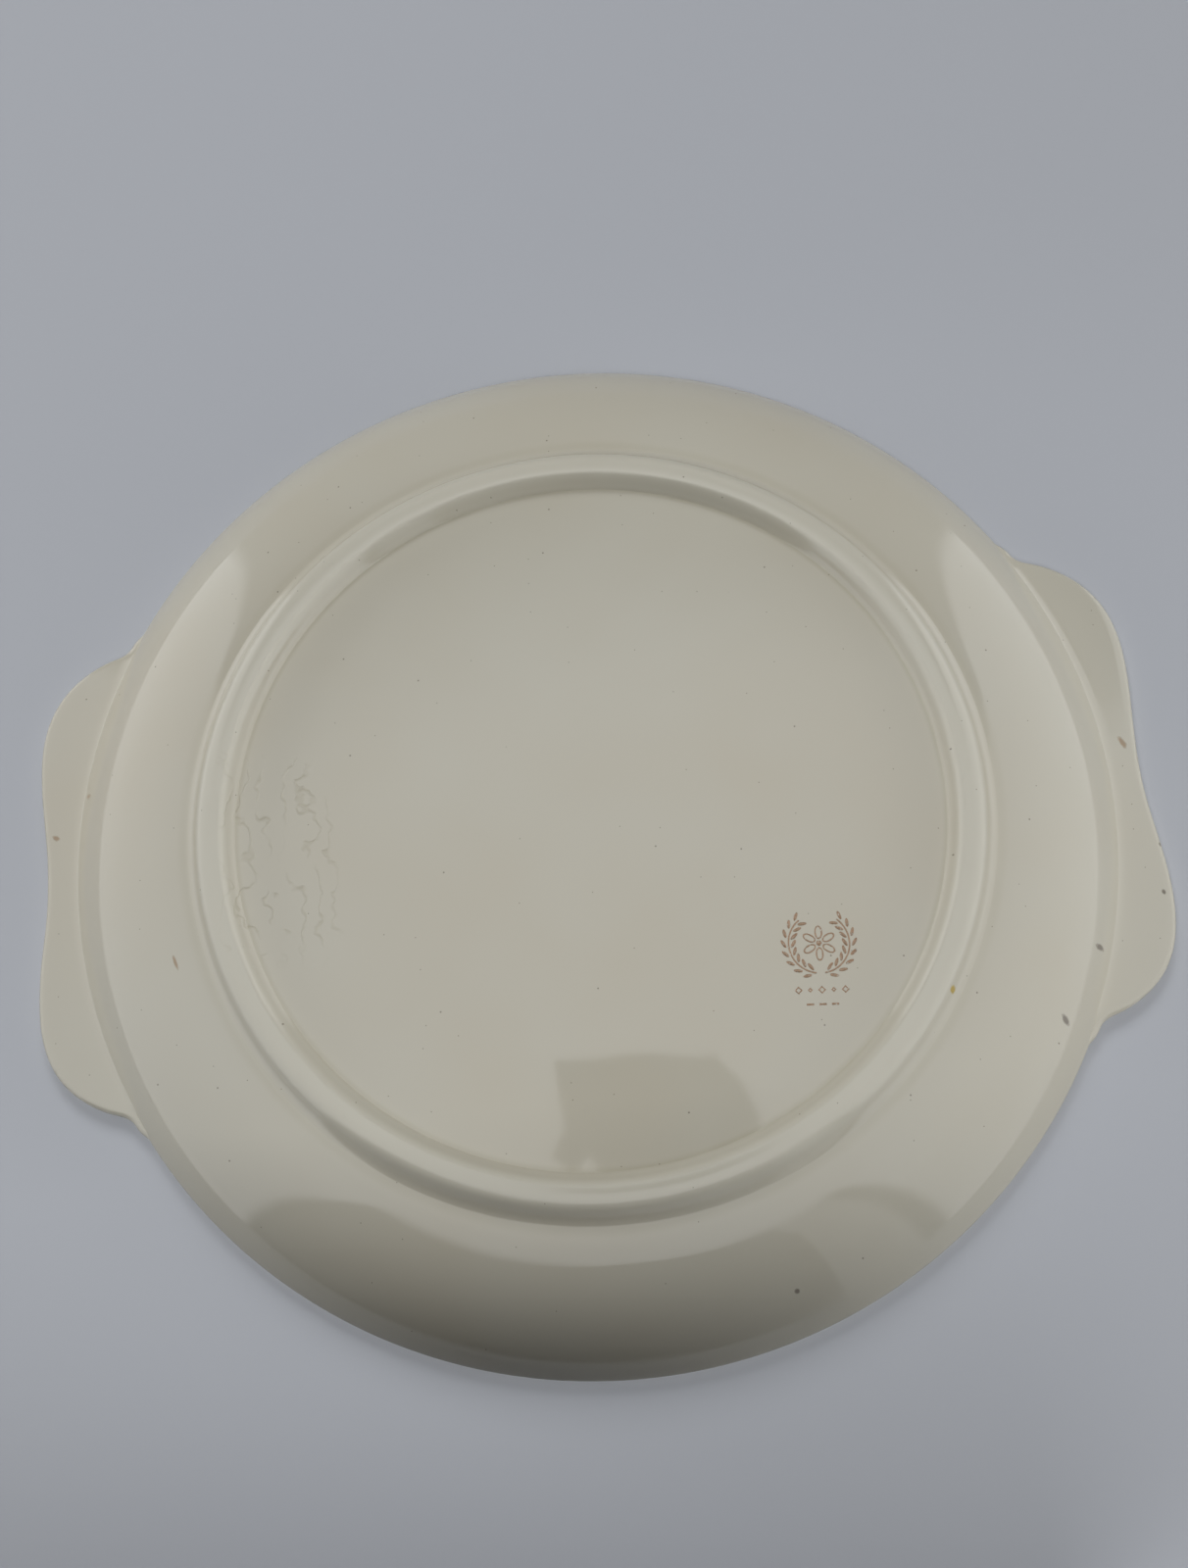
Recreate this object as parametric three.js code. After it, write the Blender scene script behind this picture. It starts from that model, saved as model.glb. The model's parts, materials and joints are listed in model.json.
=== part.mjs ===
// Shallow round serving dish in cream-glazed porcelain, with two flat tab handles, standing on a
// round foot. Millimetres, +Z up. The origin is at the middle of the dish, on the surface that the
// foot stands on. The handles point along +X and -X.

import * as THREE from "three";

// ---- driving dimensions (mm) ----

// the round dish
const rimRadius = 140;        // outer edge of the round rim
const rimTop = 24.8;          // face of the rim above the table
const rimThickness = 4;       // the rim's round edge is half of this in radius
const rimSlope = 52;          // degrees that the wall leans where it runs into the rim's edge
const recessHeight = 4;       // underside of the floor above the table
const floorThickness = 5;
const wallThickness = 4.5;

// the foot
const footCrestRadius = 97;   // middle of the ring that touches the table
const footFlatWidth = 2.4;    // narrow flat on the crest
const footInnerReach = 5;     // from the crest's middle to the inner edge at the floor
const footOuterReach = 8;     // from the crest's middle to the outer edge at the floor
const footShoulder = 1.8;     // how far each side's curve runs on from the flat
const footFillet = 1.5;       // how far each side's curve runs along the floor

// the handles
const handleReach = 9.7;      // how far the lobes pass the rim
const handleThickness = 3.6;
const handleEdge = 1;         // rounding of the handle's edges
const notchDepth = 2;         // shallow hollow between the two lobes
const lobeOffset = 32.5;      // the lobes' furthest points, either side of the middle
const flankInset = 7.6;       // the flank's inner end, in from the rim's widest point
const flankOffset = 62.5;     // the flank's inner end, either side of the middle
const flankSlope = 65;        // degrees that the flank leans in from straight across
const rootAngle = 28.5;       // degrees round the rim where the handle ends
const rootEdge = 0.8;         // width left at the handle's thin ends
const outlineFullness = 0.4;  // how far each curve of the outline keeps its direction

// the decoration
const filmThickness = 0.2;
const goldLineWidth = 1;
const goldEdgeInset = 2.2;    // from the outline to the gold line
const goldWellInset = 3;      // from the edge of the well's flat to the gold line
const wellSeatMargin = 0.5;   // from the gold line to the face that things rest on
const stampCentre = new THREE.Vector2(54, 45.5);
const stampRadius = 8.5;      // outer radius of the printed ring
const stampRingWidth = 1;
const stampPetals = 6;
const petalRoot = 1.6;        // the flower's solid middle
const petalGap = 3.5;         // degrees of each petal's half-width where it meets the ring

// fits
const lutingGap = 0.3;        // where foot and handles meet the body

// roundness
const roundSteps = 96;
const wallSteps = 9;
const edgeSteps = 8;
const footSteps = 6;
const handleEdgeSteps = 3;
const handleSteps = 20;
const stampSteps = 48;

// ---- glazes ----

const glaze = (name, colour) => new THREE.MeshStandardMaterial({
  name,
  color: new THREE.Color(colour),
  roughness: 0.18,
  metalness: 0,
});
const creamGlaze = glaze("cream_glaze", "#d9d5c6");
const footGlaze = glaze("foot_glaze", "#d3cfbf");
const gold = new THREE.MeshStandardMaterial({
  name: "gold",
  color: "#b98a3c",
  roughness: 0.3,
  metalness: 1,
});
const stampInk = new THREE.MeshStandardMaterial({
  name: "stamp_ink",
  color: "#8a6a45",
  roughness: 0.5,
  metalness: 0,
});

// ---- helpers ----

const part = new THREE.Group();

function add(name, geometry, material, parent = part) {
  const mesh = new THREE.Mesh(geometry, material);
  mesh.name = name;
  parent.add(mesh);
  return mesh;
}

// Points on a circle about (x, y), from one angle to another.
function arc(x, y, radius, from, to, steps) {
  const points = [];
  for (let i = 0; i <= steps; i += 1) {
    const angle = from + (to - from) * i / steps;
    points.push(new THREE.Vector2(x + radius * Math.cos(angle), y + radius * Math.sin(angle)));
  }
  return points;
}

// A profile of (radius, height) points turned round the dish's axis, which is +Z.
function turned(profile) {
  const geometry = new THREE.LatheGeometry(profile, roundSteps);
  geometry.rotateX(Math.PI / 2);
  return geometry;
}

// A flat outline made into a plate between two heights.
function plate(shape, bottom, top) {
  const geometry = new THREE.ExtrudeGeometry(shape, { depth: top - bottom, bevelEnabled: false });
  geometry.translate(0, 0, bottom);
  return geometry;
}

// A closed solid through a row of sections, each a convex ring of the same number of points.
function loft(sections) {
  const ring = sections[0].length;
  const last = (sections.length - 1) * ring;
  const index = [];
  for (let row = 0; row < sections.length - 1; row += 1) {
    for (let i = 0; i < ring; i += 1) {
      const a = row * ring + i;
      const b = row * ring + (i + 1) % ring;
      index.push(a, b, b + ring, a, b + ring, a + ring);
    }
  }
  for (let i = 1; i < ring - 1; i += 1) {
    index.push(0, i + 1, i);
    index.push(last, last + i, last + i + 1);
  }
  const geometry = new THREE.BufferGeometry().setFromPoints(sections.flat());
  geometry.setIndex(index);
  geometry.computeVertexNormals();
  return geometry;
}

// ---- the round dish ----

const rimEdge = rimThickness / 2;
const rimEdgeCentre = new THREE.Vector2(rimRadius - rimEdge, rimTop - rimEdge);
const rimEdgeStart = THREE.MathUtils.degToRad(rimSlope - 90);
const onRimEdge = new THREE.Vector2(Math.cos(rimEdgeStart), Math.sin(rimEdgeStart));
const wallStart = new THREE.Vector2(footCrestRadius + footOuterReach, recessHeight);
const wallEnd = rimEdgeCentre.clone().addScaledVector(onRimEdge, rimEdge);

// The wall is one arc from its start to the rim's round edge, which it meets without a corner.
const chord = wallEnd.clone().sub(wallStart);
const wallRadius = chord.lengthSq() / (2 * chord.dot(onRimEdge));
const wallCentre = wallEnd.clone().addScaledVector(onRimEdge, -wallRadius);

// Angles of the wall's start and end about its centre, below the centre's own level.
const angleOf = (point) => Math.atan2(point.y - wallCentre.y, point.x - wallCentre.x);
const innerRadius = wallRadius - wallThickness;
const angleAt = (height) => Math.asin((height - wallCentre.y) / innerRadius);
const wellFloor = recessHeight + floorThickness;
const wellEdgeAngle = angleAt(wellFloor);
const wellRadius = wallCentre.x + innerRadius * Math.cos(wellEdgeAngle);

// Inside the gold line the well's flat is a face of its own, where whatever is set in it rests.
const wellLineOuter = wellRadius - goldWellInset;
const wellLineInner = wellLineOuter - goldLineWidth;
const wellSeatRadius = wellLineInner - wellSeatMargin;

const bodyProfile = [
  new THREE.Vector2(0, recessHeight),
  ...arc(wallCentre.x, wallCentre.y, wallRadius, angleOf(wallStart), angleOf(wallEnd), wallSteps),
  ...arc(rimEdgeCentre.x, rimEdgeCentre.y, rimEdge, rimEdgeStart, Math.PI / 2, edgeSteps).slice(1),
  ...arc(wallCentre.x, wallCentre.y, innerRadius, angleAt(rimTop), wellEdgeAngle, wallSteps),
  new THREE.Vector2(wellSeatRadius, wellFloor),
  new THREE.Vector2(0, wellFloor),
];
add("dish_body", turned(bodyProfile), creamGlaze);

// ---- the foot ring ----

const footTop = recessHeight - lutingGap;
const footInner = footCrestRadius - footInnerReach;
const footOuter = footCrestRadius + footOuterReach;
const flatInner = footCrestRadius - footFlatWidth / 2;
const flatOuter = footCrestRadius + footFlatWidth / 2;

// One side of the bead, from the narrow flat up to the floor: round shoulder, then hollow fillet.
function footSide(flatEdge, outerEdge) {
  const way = Math.sign(outerEdge - flatEdge);
  const curve = new THREE.CubicBezierCurve(
    new THREE.Vector2(flatEdge, 0),
    new THREE.Vector2(flatEdge + way * footShoulder, 0),
    new THREE.Vector2(outerEdge - way * footFillet, footTop),
    new THREE.Vector2(outerEdge, footTop),
  );
  return curve.getPoints(footSteps);
}

const footProfile = [
  ...footSide(flatOuter, footOuter),
  ...footSide(flatInner, footInner).reverse(),
];
footProfile.push(footProfile[0].clone());
add("foot_ring", turned(footProfile), footGlaze);

// ---- the tab handles ----

// A smooth curve from one point and direction to another.
function blend(from, fromWay, to, toWay, steps) {
  const span = from.distanceTo(to) * outlineFullness;
  const curve = new THREE.CubicBezierCurve(
    from,
    from.clone().addScaledVector(fromWay, span),
    to.clone().addScaledVector(toWay, -span),
    to,
  );
  return curve.getPoints(steps).slice(1);
}

// One half of the handle's outline, from its middle round the lobe to its end on the rim.
function handleHalf() {
  const reach = rimRadius + handleReach;
  const slope = THREE.MathUtils.degToRad(flankSlope);
  const root = THREE.MathUtils.degToRad(rootAngle);
  const rootRadius = rimRadius + lutingGap + rootEdge;
  const middle = new THREE.Vector2(reach - notchDepth, 0);
  const lobe = new THREE.Vector2(reach, lobeOffset);
  const flankEnd = new THREE.Vector2(rimRadius - flankInset, flankOffset);
  const end = new THREE.Vector2(rootRadius * Math.cos(root), rootRadius * Math.sin(root));
  const across = new THREE.Vector2(0, 1);
  const flank = new THREE.Vector2(-Math.sin(slope), Math.cos(slope));
  const alongRim = new THREE.Vector2(-Math.sin(root), Math.cos(root));
  return [
    middle,
    ...blend(middle, across, lobe, across, handleSteps * 0.3),
    ...blend(lobe, across, flankEnd, flank, handleSteps * 0.5),
    ...blend(flankEnd, flank, end, alongRim, handleSteps * 0.2),
  ];
}

const upperHalf = handleHalf();
const lowerHalf = upperHalf.slice(1).reverse().map((point) => new THREE.Vector2(point.x, -point.y));
const handleOutline = [...lowerHalf, ...upperHalf];

// A cut through the handle, from the rim out to a point on its outline, with a rounded edge.
function handleSection(point) {
  const direction = point.clone().normalize();
  const inner = rimRadius + lutingGap;
  const outer = point.length();
  const rounding = Math.min(handleEdge, (outer - inner) / 2);
  const bottom = rimTop - handleThickness;
  const cut = [
    new THREE.Vector2(inner, bottom),
    new THREE.Vector2(inner, rimTop),
    ...arc(outer - rounding, rimTop - rounding, rounding, Math.PI / 2, 0, handleEdgeSteps),
    ...arc(outer - rounding, bottom + rounding, rounding, 0, -Math.PI / 2, handleEdgeSteps),
  ];
  return cut.map(({ x, y }) => new THREE.Vector3(x * direction.x, x * direction.y, y));
}

function tabHandle(name, turn) {
  const group = new THREE.Group();
  group.rotation.z = turn;
  part.add(group);
  return add(name, loft(handleOutline.map(handleSection)), creamGlaze, group);
}
tabHandle("tab_handle_right", 0);
tabHandle("tab_handle_left", Math.PI);

// ---- the gold lines ----

// The whole outline of the face: handle, rim, handle, rim.
function faceOutline() {
  const root = THREE.MathUtils.degToRad(rootAngle);
  const rimRun = arc(0, 0, rimRadius, root, Math.PI - root, roundSteps / 3).slice(1, -1);
  const half = [...handleOutline, ...rimRun];
  return [...half, ...half.map((point) => new THREE.Vector2(-point.x, -point.y))];
}

// The outline moved inwards by an even amount.
function inset(outline, amount) {
  const count = outline.length;
  return outline.map((point, i) => {
    const before = outline[(i + count - 1) % count];
    const after = outline[(i + 1) % count];
    const along = after.clone().sub(before).normalize();
    return new THREE.Vector2(point.x - along.y * amount, point.y + along.x * amount);
  });
}

const outline = faceOutline();
const goldEdge = new THREE.Shape(inset(outline, goldEdgeInset));
goldEdge.holes.push(new THREE.Path(inset(outline, goldEdgeInset + goldLineWidth)));
add("gold_edge_line", plate(goldEdge, rimTop, rimTop + filmThickness), gold);

const wellLineTop = wellFloor + filmThickness;
add("gold_well_line", turned([
  new THREE.Vector2(wellLineInner, wellFloor),
  new THREE.Vector2(wellLineOuter, wellFloor),
  new THREE.Vector2(wellLineOuter, wellLineTop),
  new THREE.Vector2(wellLineInner, wellLineTop),
  new THREE.Vector2(wellLineInner, wellFloor),
]), gold);

// ---- the printed mark: a ring with a six-petal flower whose tips touch it ----

const stampInner = stampRadius - stampRingWidth;
const petalHalf = THREE.MathUtils.degToRad(petalGap);
const petalTurn = 2 * Math.PI / stampPetals;
const stamp = new THREE.Shape(arc(0, 0, stampRadius, 0, 2 * Math.PI, stampSteps).slice(0, -1));
for (let i = 0; i < stampPetals; i += 1) {
  const from = petalTurn * i;
  const middle = from + petalTurn / 2;
  stamp.holes.push(new THREE.Path([
    ...arc(0, 0, stampInner, from + petalHalf, from + petalTurn - petalHalf, edgeSteps),
    new THREE.Vector2(petalRoot * Math.cos(middle), petalRoot * Math.sin(middle)),
  ]));
}
const stampPlate = plate(stamp, recessHeight - filmThickness, recessHeight);
const stampMesh = add("backstamp_print", stampPlate, stampInk);
stampMesh.position.set(stampCentre.x, stampCentre.y, 0);

export default part;
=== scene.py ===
# %% [markdown]
# # A cream-glazed serving dish with two tab handles
#
# This lesson builds the looks of a shallow porcelain dish around its engineering model. The dish is
# 280 mm across and only 25 mm high. A round foot carries it, and a flat tab with two lobes stands
# out of the rim on either side. The camera looks at the underside, because that is the side a
# collector turns up to read the printed mark.
#
# The engineering model is loaded as a fixed frame. It gives the sizes, and every finer piece that
# follows is made in the same place and in metres. The frame is never moved or changed.

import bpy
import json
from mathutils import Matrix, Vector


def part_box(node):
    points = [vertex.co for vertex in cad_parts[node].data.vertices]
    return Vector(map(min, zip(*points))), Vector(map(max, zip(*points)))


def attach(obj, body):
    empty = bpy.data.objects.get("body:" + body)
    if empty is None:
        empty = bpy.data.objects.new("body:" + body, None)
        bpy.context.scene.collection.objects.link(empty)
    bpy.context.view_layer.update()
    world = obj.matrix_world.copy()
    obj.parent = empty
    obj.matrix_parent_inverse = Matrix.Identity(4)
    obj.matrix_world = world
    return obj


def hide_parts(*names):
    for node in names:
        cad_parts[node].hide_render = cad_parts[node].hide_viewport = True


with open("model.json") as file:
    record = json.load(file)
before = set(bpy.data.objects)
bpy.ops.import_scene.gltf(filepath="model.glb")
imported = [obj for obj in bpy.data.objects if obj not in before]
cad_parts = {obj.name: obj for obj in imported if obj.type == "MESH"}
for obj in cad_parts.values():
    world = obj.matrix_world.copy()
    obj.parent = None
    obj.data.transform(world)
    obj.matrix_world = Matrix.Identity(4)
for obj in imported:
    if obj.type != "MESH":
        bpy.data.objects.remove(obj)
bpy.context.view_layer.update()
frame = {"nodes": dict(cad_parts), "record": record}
print("frame nodes:", ", ".join(sorted(frame["nodes"])))

# %% What else the lesson uses
import json
import math

import bpy
import numpy as np
from mathutils import Matrix, Vector, noise

MM = 0.001

# %% [markdown]
# ## Sizes
#
# A potter works from a drawing of half a section. Most of its sizes can be read off the frame: the
# boxes of its nodes give the rim, the foot and the handles, and the place where the dish rests
# gives the crest of the foot. The few sizes that no box shows are written here once.

# %% Sizes from the frame
body_low, body_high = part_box("dish_body")
foot_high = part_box("foot_ring")[1]
handle_low, handle_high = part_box("tab_handle_right")
well_line_low, well_line_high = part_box("gold_well_line")
edge_line_low, edge_line_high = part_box("gold_edge_line")
print_low, print_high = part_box("backstamp_print")
mounts = {mount["name"]: mount for mount in frame["record"]["mounts"]}

rim_radius = round(body_high.y, 4)
rim_top = body_high.z
recess_height = body_low.z
foot_outer = foot_high.x
foot_crest = mounts["foot_face"]["pos_m"][0]
well_floor = mounts["well_floor"]["pos_m"][2]
handle_reach = handle_high.x
handle_under = handle_low.z
print(f"rim {rim_radius / MM:.1f} mm, foot crest {foot_crest / MM:.1f} mm,"
      f" handle reach {handle_reach / MM:.1f} mm")

# %% Sizes from the potter's drawing
rim_edge = 2 * MM
rim_slope = math.radians(52)
wall_thickness = 4.5 * MM
foot_inner = foot_crest - 5 * MM

# %% [markdown]
# ## Profiles with soft corners
#
# Under a glaze nothing is sharp: wiping the clay and melting the glass round every corner. So the
# section is drawn as plain lines and arcs first, and then each corner is cut back by a small length
# on both sides and bridged by a bend that leaves along the one curve and arrives along the other.
# A bevel modifier could round the finished mesh instead, but one width would then serve all
# corners, and here the bend in the well is far wider than the one at the rim.

# %% Helpers for profiles
def line(start, stop, count):
    """Points evenly spaced on a straight line."""
    return np.linspace(start, stop, count)


def arc(centre, radius, start, stop, count):
    """Points on a circle, between two angles in radians."""
    angles = np.linspace(start, stop, count)
    return np.stack([centre[0] + radius * np.cos(angles), centre[1] + radius * np.sin(angles)], axis=1)


def bezier(a, b, c, d, count):
    """Points on a cubic curve that leaves a towards b and reaches d coming from c."""
    t = np.linspace(0, 1, count)[:, None]
    a, b, c, d = (np.array(point, float) for point in (a, b, c, d))
    return (1 - t) ** 3 * a + 3 * t * (1 - t) ** 2 * b + 3 * t ** 2 * (1 - t) * c + t ** 3 * d


def shortened(curve, start, end):
    """The same curve with a length taken off each end."""
    steps = np.linalg.norm(np.diff(curve, axis=0), axis=1)
    along = np.concatenate([[0], np.cumsum(steps)])
    kept = np.linspace(start, along[-1] - end, len(curve))
    return np.stack([np.interp(kept, along, curve[:, axis]) for axis in range(2)], axis=1)


def softened(curves, cuts, count=8):
    """One profile from curves that meet at corners, each corner cut back and bridged by a bend."""
    margins = [0, *cuts, 0]
    trimmed = [shortened(c, margins[i], margins[i + 1]) for i, c in enumerate(curves)]
    profile = [trimmed[0]]
    for i, cut in enumerate(cuts):
        if cut > 0:
            corner = curves[i + 1][0]
            before = trimmed[i][-1]
            after = trimmed[i + 1][0]
            bend = bezier(before, (before + 2 * corner) / 3, (2 * corner + after) / 3, after, count)
            profile.append(bend[1:-1])
        profile.append(trimmed[i + 1] if cut > 0 else trimmed[i + 1][1:])
    return np.concatenate(profile)


# %% [markdown]
# ## From profile to mesh
#
# A wheel-made or jiggered dish is a turned shape, so its mesh is the profile repeated round the
# axis. A Screw modifier would do it too. Writing the faces by hand keeps the two ends on the axis
# as single points, which leaves one closed skin with no seam.
#
# No fired dish is perfectly true. Every piece below passes through the same shallow waves, a
# tenth of a millimetre high and a few centimetres long. They are too low to see in the outline, but
# they make the reflections wander as they do on real pottery. Because the waves depend only on
# the place, pieces that meet stay together.

# %% Helpers for meshes
AROUND = 320
WAVE_HEIGHT = 0.09 * MM
WAVES_PER_METRE = 20
RIPPLE_HEIGHT = 0.012 * MM
RIPPLES_PER_METRE = 90


def lift(x, y):
    """How far firing has raised or sunk the clay at this place."""
    broad = noise.noise(Vector((x, y, 0.0)) * WAVES_PER_METRE)
    fine = noise.noise(Vector((x, y, 0.3)) * RIPPLES_PER_METRE)
    return WAVE_HEIGHT * broad + RIPPLE_HEIGHT * fine


def make_piece(name, vertices, faces):
    """A smooth-shaded mesh object from corner points and faces, after the firing waves."""
    fired = [(x, y, z + lift(x, y)) for x, y, z in vertices]
    mesh = bpy.data.meshes.new(name)
    mesh.from_pydata(fired, [], faces)
    mesh.validate()
    mesh.polygons.foreach_set("use_smooth", [True] * len(mesh.polygons))
    mesh.update()
    piece = bpy.data.objects.new(name, mesh)
    bpy.context.scene.collection.objects.link(piece)
    print(f"{name}: {len(mesh.vertices)} points, {len(mesh.polygons)} faces")
    return piece


def turned(name, profile):
    """A profile of (radius, height) points turned round the axis. It may start and end on it."""
    angles = np.linspace(0, 2 * math.pi, AROUND, endpoint=False)
    on_axis = profile[0][0] < 1e-9
    rows = profile[1:-1] if on_axis else profile
    vertices = [(r * math.cos(a), r * math.sin(a), z) for r, z in rows for a in angles]
    faces = []
    last_row = len(rows) - 1
    for row in range(last_row if on_axis else last_row + 1):
        low = row * AROUND
        high = (row + 1) % len(rows) * AROUND
        for i in range(AROUND):
            j = (i + 1) % AROUND
            faces.append((low + i, low + j, high + j, high + i))
    if on_axis:
        first = len(vertices)
        vertices += [(0, 0, profile[0][1]), (0, 0, profile[-1][1])]
        top = last_row * AROUND
        faces += [(first, (i + 1) % AROUND, i) for i in range(AROUND)]
        faces += [(first + 1, top + i, top + (i + 1) % AROUND) for i in range(AROUND)]
    return make_piece(name, vertices, faces)


def lofted(name, sections, closed=False):
    """A skin over rings of points that follow each other; an open row is capped at both ends."""
    ring = len(sections[0])
    rows = len(sections)
    vertices = [tuple(point) for section in sections for point in section]
    faces = []
    for row in range(rows if closed else rows - 1):
        low = row * ring
        high = (row + 1) % rows * ring
        for i in range(ring):
            j = (i + 1) % ring
            faces.append((low + i, low + j, high + j, high + i))
    if not closed:
        faces.append(tuple(reversed(range(ring))))
        faces.append(tuple(range((rows - 1) * ring, rows * ring)))
    return make_piece(name, vertices, faces)


# %% [markdown]
# ## The round dish
#
# The underside is flat inside the foot. Outside it the wall starts almost level and rises in one
# arc, steeper and steeper, until it runs into the rim's round edge. So an arc is all that the wall
# needs: its end and its slope there are known, and it has to pass through its start. The face side
# repeats the arc one wall's thickness further in, down to the flat well.

# %% The body's profile
rim_edge_centre = np.array([rim_radius - rim_edge, rim_top - rim_edge])
onto_edge = np.array([math.sin(rim_slope), -math.cos(rim_slope)])
wall_start = np.array([foot_outer, recess_height])
wall_end = rim_edge_centre + rim_edge * onto_edge
chord = wall_end - wall_start
outer_wall_radius = chord @ chord / (2 * chord @ onto_edge)
wall_centre = wall_end - outer_wall_radius * onto_edge
inner_wall_radius = outer_wall_radius - wall_thickness
BODY_CUTS = [3 * MM, 0, 0, 0.7 * MM, 4 * MM]
print(f"the wall's arc has a radius of {outer_wall_radius / MM:.1f} mm")


def wall_angle(radius, height):
    """The angle, about the wall's centre, at which an arc of this radius reaches a height."""
    return math.asin((height - wall_centre[1]) / radius)


def wall_place(height):
    """The outer wall's radius at a height."""
    return wall_centre[0] + math.sqrt(outer_wall_radius ** 2 - (height - wall_centre[1]) ** 2)


def body_profile():
    start = wall_angle(outer_wall_radius, recess_height)
    inner_angles = wall_angle(inner_wall_radius, rim_top), wall_angle(inner_wall_radius, well_floor)
    outer_wall = arc(wall_centre, outer_wall_radius, start, rim_slope - math.pi / 2, 34)
    inner_wall = arc(wall_centre, inner_wall_radius, *inner_angles, 30)
    edge = arc(rim_edge_centre, rim_edge, rim_slope - math.pi / 2, math.pi / 2, 13)
    return softened([
        line((0, recess_height), outer_wall[0], 20),
        outer_wall,
        edge,
        line(edge[-1], inner_wall[0], 4),
        inner_wall,
        line(inner_wall[-1], (0, well_floor), 22),
    ], BODY_CUTS)


dish = turned("porcelain_body", body_profile())

# %% [markdown]
# ## The foot
#
# The foot is a low round bead, luted on or turned out of the same clay. Its crest is broad and
# touches the table on a narrow flat. Inwards it drops to the recess in a short curve, and
# outwards it runs out longer, until it lies along the wall. Its two hidden corners sit just inside
# the body, so that no gap shows.

# %% The foot's profile
def foot_profile():
    flat = 1.2 * MM
    sunk = 0.15 * MM
    inside = 0.4 * MM
    outer_shoulder, outer_hollow = 4.5 * MM, 3.8 * MM
    inner_shoulder, inner_hollow = 1.7 * MM, 1.1 * MM
    outside = bezier(
        (foot_crest + flat, 0),
        (foot_crest + flat + outer_shoulder, 0),
        (foot_outer - outer_hollow, recess_height),
        (foot_outer + 0.6 * MM, recess_height + sunk),
        18,
    )
    inner_side = bezier(
        (foot_inner - 0.5 * MM, recess_height + sunk),
        (foot_inner + inner_hollow, recess_height),
        (foot_crest - flat - inner_shoulder, 0),
        (foot_crest - flat, 0),
        16,
    )
    hidden = line(outside[-1] + (0, inside), inner_side[0] + (0, inside), 4)
    return np.concatenate([inner_side, outside, hidden])


foot = turned("foot_bead", foot_profile())

# %% [markdown]
# ## The handles
#
# Each handle is a flat tab cut from a slab with a template: two round lobes, a shallow hollow
# between them, and two flanks that run back into the rim. Half the template is three smooth curves,
# and the other half mirrors it. Read as a distance from the dish's middle at each angle, the
# template gives the length of every radial cut through the tab, and the tab is a skin over those
# cuts. At both ends the cuts shrink until they are inside the rim, so the flank fades away into it.
# Below, where the level tab meets the steep wall, slip fills the corner with a small hollow fillet.

# %% The handle's template
NOTCH_DEPTH = 2 * MM
LOBE_OFFSET = 32.5 * MM
FLANK_END = (rim_radius - 7.6 * MM, 62.5 * MM)
FLANK_SLOPE = math.radians(65)
ROOT_ANGLE = math.radians(28.5)
FADE_ANGLE = math.radians(32)
FULLNESS = 0.4


def flowing(start, start_way, stop, stop_way, count):
    """A curve that keeps its direction for a while at both ends."""
    start, stop = np.array(start), np.array(stop)
    pull = FULLNESS * np.linalg.norm(stop - start)
    leaving = start + pull * np.array(start_way)
    arriving = stop - pull * np.array(stop_way)
    return bezier(start, leaving, arriving, stop, count)


def handle_template():
    """Angles and distances from the dish's middle along half of the handle's outline."""
    across = (0, 1)
    flank_way = (-math.sin(FLANK_SLOPE), math.cos(FLANK_SLOPE))
    rim_way = (-math.sin(ROOT_ANGLE), math.cos(ROOT_ANGLE))
    middle = (handle_reach - NOTCH_DEPTH, 0)
    lobe = (handle_reach, LOBE_OFFSET)
    root_radius = rim_radius + 1.1 * MM
    root = (root_radius * math.cos(ROOT_ANGLE), root_radius * math.sin(ROOT_ANGLE))
    outline = np.concatenate([
        flowing(middle, across, lobe, across, 30),
        flowing(lobe, across, FLANK_END, flank_way, 40)[1:],
        flowing(FLANK_END, flank_way, root, rim_way, 12)[1:],
    ])
    return np.arctan2(outline[:, 1], outline[:, 0]), np.hypot(outline[:, 0], outline[:, 1])


template_angles, template_radii = handle_template()
faded_radius = rim_radius - 1 * MM


def outline_radius(angle):
    """Distance from the middle to the dish's outline, for an angle from a handle's middle."""
    angle = abs(angle)
    if angle <= ROOT_ANGLE:
        return float(np.interp(angle, template_angles, template_radii))
    t = min(1.0, (angle - ROOT_ANGLE) / (FADE_ANGLE - ROOT_ANGLE))
    eased = t * t * (3 - 2 * t)
    return template_radii[-1] + (faded_radius - template_radii[-1]) * eased


# %% The handle's cuts
HANDLE_CUTS = 200
EDGE_ROUNDING = 1.55 * MM
CUT_WOBBLE = 0.14 * MM


def handle_cut(angle, turn):
    """The ring of points where the tab is cut along a radius."""
    way = Vector((math.cos(angle + turn), math.sin(angle + turn), 0))
    outer = outline_radius(angle) + CUT_WOBBLE * noise.noise(way * 9)
    inner = rim_radius - 3.2 * MM
    top = rim_top - 0.02 * MM
    rounding = min(EDGE_ROUNDING, (outer - inner) / 2.2)
    turn_in = min(rim_radius + 1.3 * MM, outer - rounding - 0.2 * MM)
    luted_height = handle_under - 0.7 * MM
    luted = (wall_place(luted_height) - 0.08 * MM, luted_height)
    ring = np.concatenate([
        line((inner, top), (outer - rounding, top), 12),
        arc((outer - rounding, top - rounding), rounding, math.pi / 2, 0, 7)[1:],
        arc((outer - rounding, handle_under + rounding), rounding, 0, -math.pi / 2, 7),
        line((outer - rounding, handle_under), (turn_in, handle_under), 8)[1:],
        bezier(
            (turn_in, handle_under),
            (turn_in - 1.3 * MM, handle_under),
            (luted[0] + 0.45 * MM, luted[1] + 0.5 * MM),
            luted,
            8,
        )[1:],
        line(luted, (inner, handle_under + 0.3 * MM), 3)[1:],
    ])
    return [(r * way.x, r * way.y, z) for r, z in ring]


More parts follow.
